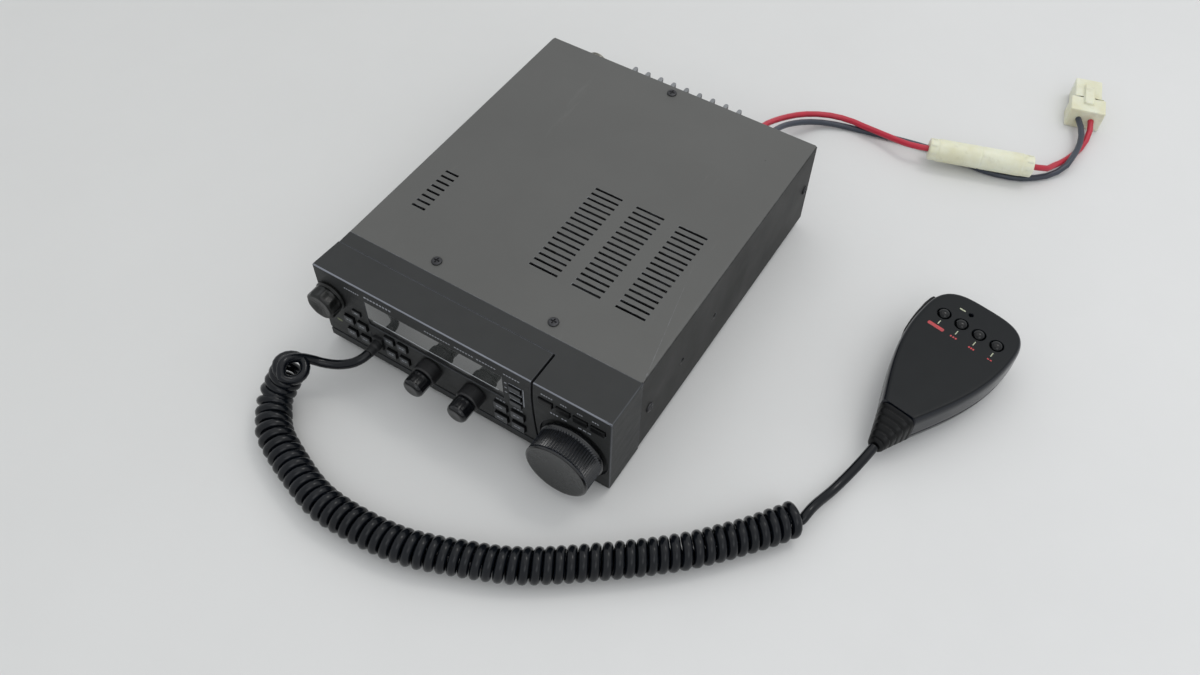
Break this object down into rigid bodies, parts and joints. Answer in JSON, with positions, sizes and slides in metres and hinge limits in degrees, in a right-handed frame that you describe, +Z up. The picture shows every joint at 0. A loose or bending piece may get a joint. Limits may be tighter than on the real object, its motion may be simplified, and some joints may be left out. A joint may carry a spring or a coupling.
{
  "type": "mobile transceiver",
  "caption": "Mobile radio transceiver: finned steel case, detachable control head, tuning dial, concentric knobs, hand microphone on a curly cord, fused power lead.",
  "frame": {"origin": "on the surface that the radio's feet stand on, under the centre of its case", "axes": "+X to the user's right along the front panel, +Y from the front panel to the rear panel, +Z up"},
  "size_m": [0.3295, 0.5322, 0.0642],
  "materials": {
    "case_paint": "satin grey paint with fine orange peel, worn at the corners",
    "chassis_steel": "plain zinc-plated sheet",
    "bezel_plastic": "charcoal moulding with a fine grain",
    "cast_aluminium": "bare die casting",
    "nickel": "dull nickel plate",
    "black_rubber": "matt",
    "black_steel": "blackened screw steel",
    "green_board": "solder mask",
    "dark_plastic": "satin",
    "key_plastic": "satin, lighter on the faces",
    "knob_plastic": "satin black with polished edges",
    "smoked_window": "clear, faintly scratched",
    "mic_plastic": "fine grain",
    "red_insulation": "soft vinyl",
    "black_insulation": "soft vinyl",
    "ivory_plastic": "slightly yellowed nylon"
  },
  "bodies": {
    "radio": {"chassis_frame": "chassis_steel", "top_cover": "case_paint", "bottom_cover": "case_paint", "front_bezel": "bezel_plastic", "heat_sink": "cast_aluminium", "antenna_connector": "nickel", "power_grommet": "black_rubber", "rubber_feet": "black_rubber", "cover_screws": "black_steel", "main_board": "green_board", "speaker": "dark_plastic", "tuning_encoder": "chassis_steel", "speaker_jack": "dark_plastic", "red_lead": "red_insulation", "black_lead": "black_insulation", "fuse_holder": "ivory_plastic", "power_plug": "ivory_plastic"},
    "head": {"head_front": "bezel_plastic", "head_rear": "bezel_plastic", "display_window": "smoked_window", "head_board": "green_board", "mic_front_shell": "mic_plastic", "mic_rear_shell": "mic_plastic", "mic_board": "green_board", "mic_strain_relief": "black_rubber", "mic_plug": "dark_plastic", "mic_cord_lead": "black_rubber", "mic_cord_coil": "black_rubber", "mic_cord_tail": "black_rubber"},
    "function_button_1": {"function_button_1": "key_plastic"},
    "function_button_2": {"function_button_2": "key_plastic"},
    "function_button_3": {"function_button_3": "key_plastic"},
    "function_button_4": {"function_button_4": "key_plastic"},
    "mode_key": {"mode_key": "key_plastic"},
    "side_key_1": {"side_key_1": "key_plastic"},
    "side_key_2": {"side_key_2": "key_plastic"},
    "side_key_3": {"side_key_3": "key_plastic"},
    "scan_key_1": {"scan_key_1": "key_plastic"},
    "scan_key_2": {"scan_key_2": "key_plastic"},
    "scan_key_3": {"scan_key_3": "key_plastic"},
    "scan_key_4": {"scan_key_4": "key_plastic"},
    "keypad_key_1": {"keypad_key_1": "key_plastic"},
    "keypad_key_2": {"keypad_key_2": "key_plastic"},
    "keypad_key_3": {"keypad_key_3": "key_plastic"},
    "keypad_key_4": {"keypad_key_4": "key_plastic"},
    "keypad_key_5": {"keypad_key_5": "key_plastic"},
    "keypad_key_6": {"keypad_key_6": "key_plastic"},
    "keypad_key_7": {"keypad_key_7": "key_plastic"},
    "keypad_key_8": {"keypad_key_8": "key_plastic"},
    "mic_button_1": {"mic_button_1": "key_plastic"},
    "mic_button_2": {"mic_button_2": "key_plastic"},
    "mic_button_3": {"mic_button_3": "key_plastic"},
    "mic_button_4": {"mic_button_4": "key_plastic"},
    "talk_bar": {"talk_bar": "key_plastic"},
    "main_dial": {"main_dial": "knob_plastic"},
    "channel_knob": {"channel_knob": "knob_plastic"},
    "volume_knob": {"volume_knob": "knob_plastic"},
    "volume_ring": {"volume_ring": "knob_plastic"},
    "squelch_knob": {"squelch_knob": "knob_plastic"},
    "squelch_ring": {"squelch_ring": "knob_plastic"}
  },
  "joints": [
    {"name": "head_release", "type": "slide", "parent": "radio", "child": "head", "axis": [0, -1, 0], "range_m": [0, 0.015]},
    {"name": "function_button_1_press", "type": "slide", "parent": "radio", "child": "function_button_1", "axis": [0, 1, 0], "range_m": [0, 0.0008], "stiffness_N_per_m": 300, "springref_m": -0.0005},
    {"name": "function_button_2_press", "type": "slide", "parent": "radio", "child": "function_button_2", "axis": [0, 1, 0], "range_m": [0, 0.0008], "stiffness_N_per_m": 300, "springref_m": -0.0005},
    {"name": "function_button_3_press", "type": "slide", "parent": "radio", "child": "function_button_3", "axis": [0, 1, 0], "range_m": [0, 0.0008], "stiffness_N_per_m": 300, "springref_m": -0.0005},
    {"name": "function_button_4_press", "type": "slide", "parent": "radio", "child": "function_button_4", "axis": [0, 1, 0], "range_m": [0, 0.0008], "stiffness_N_per_m": 300, "springref_m": -0.0005},
    {"name": "mode_key_press", "type": "slide", "parent": "head", "child": "mode_key", "axis": [0, 1, 0], "range_m": [0, 0.0008], "stiffness_N_per_m": 300, "springref_m": -0.0005},
    {"name": "side_key_1_press", "type": "slide", "parent": "head", "child": "side_key_1", "axis": [0, 1, 0], "range_m": [0, 0.0008], "stiffness_N_per_m": 300, "springref_m": -0.0005},
    {"name": "side_key_2_press", "type": "slide", "parent": "head", "child": "side_key_2", "axis": [0, 1, 0], "range_m": [0, 0.0008], "stiffness_N_per_m": 300, "springref_m": -0.0005},
    {"name": "side_key_3_press", "type": "slide", "parent": "head", "child": "side_key_3", "axis": [0, 1, 0], "range_m": [0, 0.0008], "stiffness_N_per_m": 300, "springref_m": -0.0005},
    {"name": "scan_key_1_press", "type": "slide", "parent": "head", "child": "scan_key_1", "axis": [0, 1, 0], "range_m": [0, 0.0008], "stiffness_N_per_m": 300, "springref_m": -0.0005},
    {"name": "scan_key_2_press", "type": "slide", "parent": "head", "child": "scan_key_2", "axis": [0, 1, 0], "range_m": [0, 0.0008], "stiffness_N_per_m": 300, "springref_m": -0.0005},
    {"name": "scan_key_3_press", "type": "slide", "parent": "head", "child": "scan_key_3", "axis": [0, 1, 0], "range_m": [0, 0.0008], "stiffness_N_per_m": 300, "springref_m": -0.0005},
    {"name": "scan_key_4_press", "type": "slide", "parent": "head", "child": "scan_key_4", "axis": [0, 1, 0], "range_m": [0, 0.0008], "stiffness_N_per_m": 300, "springref_m": -0.0005},
    {"name": "keypad_key_1_press", "type": "slide", "parent": "head", "child": "keypad_key_1", "axis": [0, 1, 0], "range_m": [0, 0.0008], "stiffness_N_per_m": 300, "springref_m": -0.0005},
    {"name": "keypad_key_2_press", "type": "slide", "parent": "head", "child": "keypad_key_2", "axis": [0, 1, 0], "range_m": [0, 0.0008], "stiffness_N_per_m": 300, "springref_m": -0.0005},
    {"name": "keypad_key_3_press", "type": "slide", "parent": "head", "child": "keypad_key_3", "axis": [0, 1, 0], "range_m": [0, 0.0008], "stiffness_N_per_m": 300, "springref_m": -0.0005},
    {"name": "keypad_key_4_press", "type": "slide", "parent": "head", "child": "keypad_key_4", "axis": [0, 1, 0], "range_m": [0, 0.0008], "stiffness_N_per_m": 300, "springref_m": -0.0005},
    {"name": "keypad_key_5_press", "type": "slide", "parent": "head", "child": "keypad_key_5", "axis": [0, 1, 0], "range_m": [0, 0.0008], "stiffness_N_per_m": 300, "springref_m": -0.0005},
    {"name": "keypad_key_6_press", "type": "slide", "parent": "head", "child": "keypad_key_6", "axis": [0, 1, 0], "range_m": [0, 0.0008], "stiffness_N_per_m": 300, "springref_m": -0.0005},
    {"name": "keypad_key_7_press", "type": "slide", "parent": "head", "child": "keypad_key_7", "axis": [0, 1, 0], "range_m": [0, 0.0008], "stiffness_N_per_m": 300, "springref_m": -0.0005},
    {"name": "keypad_key_8_press", "type": "slide", "parent": "head", "child": "keypad_key_8", "axis": [0, 1, 0], "range_m": [0, 0.0008], "stiffness_N_per_m": 300, "springref_m": -0.0005},
    {"name": "mic_button_1_press", "type": "slide", "parent": "head", "child": "mic_button_1", "axis": [0, 0, -1], "range_m": [0, 0.0008], "stiffness_N_per_m": 300, "springref_m": -0.0005},
    {"name": "mic_button_2_press", "type": "slide", "parent": "head", "child": "mic_button_2", "axis": [0, 0, -1], "range_m": [0, 0.0008], "stiffness_N_per_m": 300, "springref_m": -0.0005},
    {"name": "mic_button_3_press", "type": "slide", "parent": "head", "child": "mic_button_3", "axis": [0, 0, -1], "range_m": [0, 0.0008], "stiffness_N_per_m": 300, "springref_m": -0.0005},
    {"name": "mic_button_4_press", "type": "slide", "parent": "head", "child": "mic_button_4", "axis": [0, 0, -1], "range_m": [0, 0.0008], "stiffness_N_per_m": 300, "springref_m": -0.0005},
    {"name": "talk_bar_squeeze", "type": "slide", "parent": "head", "child": "talk_bar", "axis": [0.9842, -0.1771, 0], "range_m": [0, 0.0012], "stiffness_N_per_m": 600, "springref_m": -0.0005},
    {"name": "main_dial_turn", "type": "hinge", "parent": "radio", "child": "main_dial", "pos_m": [0.0685, -0.111, 0.024], "axis": [0, 1, 0], "continuous": true},
    {"name": "channel_knob_turn", "type": "hinge", "parent": "head", "child": "channel_knob", "pos_m": [-0.082, -0.111, 0.0445], "axis": [0, 1, 0], "continuous": true},
    {"name": "volume_knob_turn", "type": "hinge", "parent": "head", "child": "volume_knob", "pos_m": [-0.0187, -0.111, 0.0273], "axis": [0, 1, 0], "range_deg": [-150, 150]},
    {"name": "volume_ring_turn", "type": "hinge", "parent": "head", "child": "volume_ring", "pos_m": [-0.0187, -0.111, 0.0273], "axis": [0, 1, 0], "range_deg": [-150, 150]},
    {"name": "squelch_knob_turn", "type": "hinge", "parent": "head", "child": "squelch_knob", "pos_m": [0.009, -0.111, 0.0265], "axis": [0, 1, 0], "range_deg": [-150, 150]},
    {"name": "squelch_ring_turn", "type": "hinge", "parent": "head", "child": "squelch_ring", "pos_m": [0.009, -0.111, 0.0265], "axis": [0, 1, 0], "range_deg": [-150, 150]}
  ]
}
